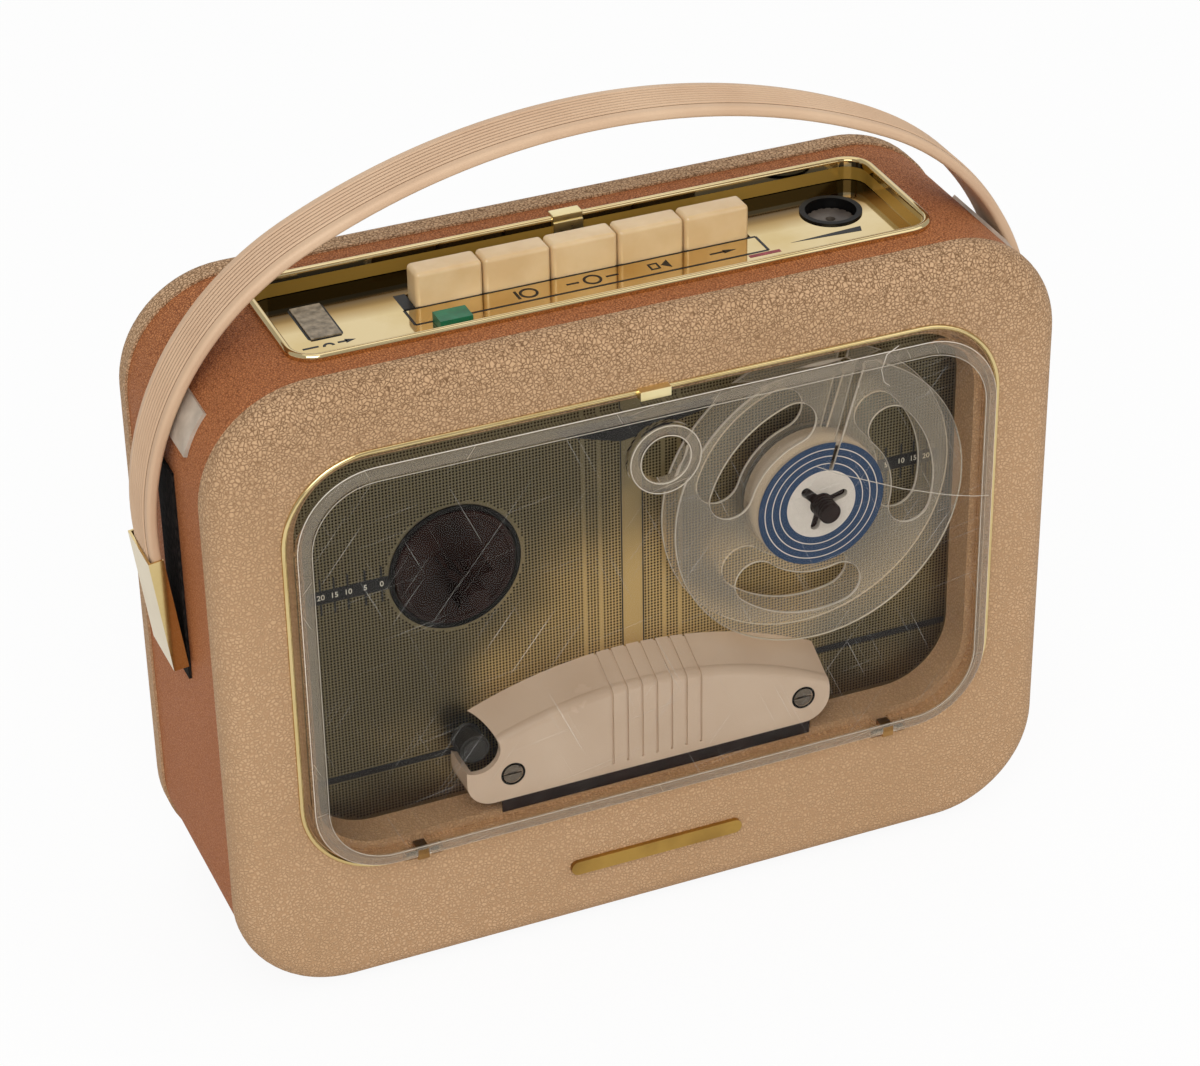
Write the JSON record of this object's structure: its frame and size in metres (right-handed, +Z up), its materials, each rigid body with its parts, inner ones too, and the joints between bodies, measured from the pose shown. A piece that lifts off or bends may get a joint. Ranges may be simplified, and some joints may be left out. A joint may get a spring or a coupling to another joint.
{
  "type": "portable tape recorder",
  "caption": "Portable reel-to-reel tape recorder in a covered case with a clear front window, a sunk tray of push keys on top and a strap handle.",
  "frame": {"origin": "on the table under the middle of the recorder's box", "axes": "+X to the right seen from the front, +Y to the back, +Z up"},
  "size_m": [0.3004, 0.102, 0.2695],
  "materials": {
    "cream_cover": "pebbled satin",
    "brown_cover": "fine grain satin",
    "gilt": "polished",
    "gilt_deck": "satin perforated",
    "clear": "polished clear plastic",
    "clear_reel": "polished clear plastic",
    "label": "printed paper",
    "dark_moulding": "polished",
    "black_trim": "satin",
    "ivory": "satin",
    "head_moulding": "satin",
    "strap_plastic": "matt ribbed",
    "grey_plastic": "satin",
    "green": "satin",
    "felt": "matt",
    "lens": "milky",
    "rubber": "matt",
    "steel": "bright",
    "plated_sheet": "zinc plated",
    "bronze": "plain",
    "paper_cone": "matt",
    "board": "laminate",
    "bulb": "clear",
    "cell_card": "printed card"
  },
  "bodies": {
    "case": {"front_shell": "cream_cover", "rear_shell": "cream_cover", "case_band": "brown_cover", "window_trim": "gilt", "cover_clip": "gilt", "gilt_bar": "gilt", "control_tray": "gilt", "deck_grille": "gilt_deck", "turntable_rings": "black_trim", "volume_cup": "black_trim", "head_base": "black_trim", "head_cover": "head_moulding", "rub_plates": "grey_plastic", "felt_strips": "felt", "indicator_lens": "lens", "feet": "rubber", "drive_belt": "rubber", "rear_screws": "steel", "hinge_pins": "steel", "head_screws": "steel", "tape_heads": "steel", "deck_posts": "steel", "motor": "steel", "key_guide": "steel", "key_springs": "steel", "handle_pivots": "steel", "output_transformer": "steel", "volume_pot": "steel", "chassis_plate": "plated_sheet", "speaker_frame": "plated_sheet", "battery_box": "plated_sheet", "shaft_bearings": "bronze", "speaker_cone": "paper_cone", "amplifier_board": "board", "valves": "bulb", "indicator_tube": "bulb", "batteries": "cell_card"},
    "cover": {"window_cover": "clear"},
    "handle": {"handle_strap": "strap_plastic", "handle_caps": "gilt"},
    "left_spool": {"left_turntable": "dark_moulding", "left_spindle": "dark_moulding"},
    "right_spool": {"right_turntable": "dark_moulding", "right_spindle": "dark_moulding", "reel_hub": "clear_reel", "reel_front_flange": "clear_reel", "reel_back_flange": "clear_reel", "reel_label": "label"},
    "capstan": {"flywheel": "steel"},
    "pulley": {"motor_pulley": "bronze"},
    "pinch_arm": {"pinch_lever": "steel"},
    "pinch_wheel": {"pinch_roller": "rubber"},
    "tape_roller": {"guide_roller": "rubber"},
    "volume": {"volume_knob": "grey_plastic"},
    "lock": {"lock_tab": "green"},
    "rewind": {"rewind_key": "ivory"},
    "record": {"record_key": "ivory"},
    "stop": {"stop_key": "ivory"},
    "play": {"play_key": "ivory"},
    "forward": {"forward_key": "ivory"}
  },
  "joints": [
    {"name": "cover_hinge", "type": "hinge", "parent": "case", "child": "cover", "pos_m": [0, -0.0485, 0.0504], "axis": [1, 0, 0], "range_deg": [0, 95]},
    {"name": "handle_swing", "type": "hinge", "parent": "case", "child": "handle", "pos_m": [0, -0.001, 0.12008], "axis": [1, 0, 0], "range_deg": [-8, 8]},
    {"name": "left_spin", "type": "hinge", "parent": "case", "child": "left_spool", "pos_m": [-0.059, -0.025, 0.138], "axis": [0, 1, 0], "continuous": true},
    {"name": "right_spin", "type": "hinge", "parent": "case", "child": "right_spool", "pos_m": [0.059, -0.025, 0.138], "axis": [0, 1, 0], "continuous": true},
    {"name": "capstan_spin", "type": "hinge", "parent": "case", "child": "capstan", "pos_m": [0.022, 0.001, 0.0685], "axis": [0, 1, 0], "continuous": true},
    {"name": "motor_spin", "type": "hinge", "parent": "case", "child": "pulley", "pos_m": [-0.062, 0.005, 0.0745], "axis": [0, 1, 0], "continuous": true},
    {"name": "pinch_press", "type": "hinge", "parent": "case", "child": "pinch_arm", "pos_m": [0.04, -0.031, 0.0735], "axis": [0, 1, 0], "range_deg": [-4.2, 0], "stiffness_Nm_per_rad": 0.08, "springref_deg": 3.44},
    {"name": "pinch_spin", "type": "hinge", "parent": "pinch_arm", "child": "pinch_wheel", "pos_m": [0.022, -0.036, 0.0781], "axis": [0, 1, 0], "continuous": true},
    {"name": "roller_spin", "type": "hinge", "parent": "case", "child": "tape_roller", "pos_m": [-0.059, -0.035, 0.0765], "axis": [0, 1, 0], "continuous": true},
    {"name": "volume_turn", "type": "hinge", "parent": "case", "child": "volume", "pos_m": [0.0846, 0.0074, 0.2075], "axis": [0, 0, 1], "range_deg": [0, 270]},
    {"name": "lock_slide", "type": "slide", "parent": "case", "child": "lock", "axis": [0, 1, 0], "range_m": [0, 0.004]},
    {"name": "rewind_press", "type": "slide", "parent": "case", "child": "rewind", "axis": [0, 0, -1], "range_m": [0, 0.005], "stiffness_N_per_m": 150, "springref_m": -0.003, "deforming": ["key_springs"]},
    {"name": "record_press", "type": "slide", "parent": "case", "child": "record", "axis": [0, 0, -1], "range_m": [0, 0.005], "stiffness_N_per_m": 150, "springref_m": -0.003, "deforming": ["key_springs"]},
    {"name": "stop_press", "type": "slide", "parent": "case", "child": "stop", "axis": [0, 0, -1], "range_m": [0, 0.005], "stiffness_N_per_m": 150, "springref_m": -0.003, "deforming": ["key_springs"]},
    {"name": "play_press", "type": "slide", "parent": "case", "child": "play", "axis": [0, 0, -1], "range_m": [0, 0.005], "stiffness_N_per_m": 150, "springref_m": -0.003, "deforming": ["key_springs"]},
    {"name": "forward_press", "type": "slide", "parent": "case", "child": "forward", "axis": [0, 0, -1], "range_m": [0, 0.005], "stiffness_N_per_m": 150, "springref_m": -0.003, "deforming": ["key_springs"]}
  ],
  "couplings": [
    {"joint": "motor_spin", "follows": "capstan_spin", "ratio": 3.75}
  ]
}
